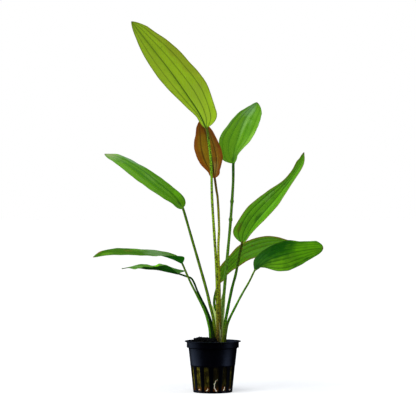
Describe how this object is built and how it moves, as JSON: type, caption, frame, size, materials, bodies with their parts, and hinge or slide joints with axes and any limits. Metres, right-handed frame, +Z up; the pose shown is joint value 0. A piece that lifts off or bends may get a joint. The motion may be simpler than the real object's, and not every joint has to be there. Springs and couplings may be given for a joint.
{
  "type": "potted echinodorus",
  "caption": "Aquarium sword plant with long-stalked leaves, growing from a rock wool plug in a slotted plastic pot that stands on its flat base.",
  "frame": {"origin": "centre of the pot's underside", "axes": "+Z up along the pot's axis, -Y towards the plant's front, +X to the right seen from the front"},
  "size_m": [0.2193, 0.1214, 0.3575],
  "materials": {
    "pot_plastic": "satin",
    "rock_wool": "matte",
    "soil": "matte",
    "crown_tissue": "satin",
    "stalk_green": "satin",
    "leaf_green": "satin",
    "leaf_bronze": "satin",
    "root_white": "satin"
  },
  "bodies": {
    "root": {"pot": "pot_plastic", "rock_wool_plug": "rock_wool", "soil": "soil", "crown": "crown_tissue", "top_stalk": "stalk_green", "top_leaf": "leaf_green", "young_stalk": "stalk_green", "young_leaf": "leaf_bronze", "high_right_stalk": "stalk_green", "high_right_leaf": "leaf_green", "mid_right_stalk": "stalk_green", "mid_right_leaf": "leaf_green", "rear_right_stalk": "stalk_green", "rear_right_leaf": "leaf_green", "low_right_stalk": "stalk_green", "low_right_leaf": "leaf_green", "high_left_stalk": "stalk_green", "high_left_leaf": "leaf_green", "low_left_stalk": "stalk_green", "low_left_leaf": "leaf_green", "twisted_left_stalk": "stalk_green", "twisted_left_leaf": "leaf_green", "root_front": "root_white", "root_front_left": "root_white", "root_left": "root_white", "root_front_right": "root_white", "root_right": "root_white"}
  },
  "joints": []
}
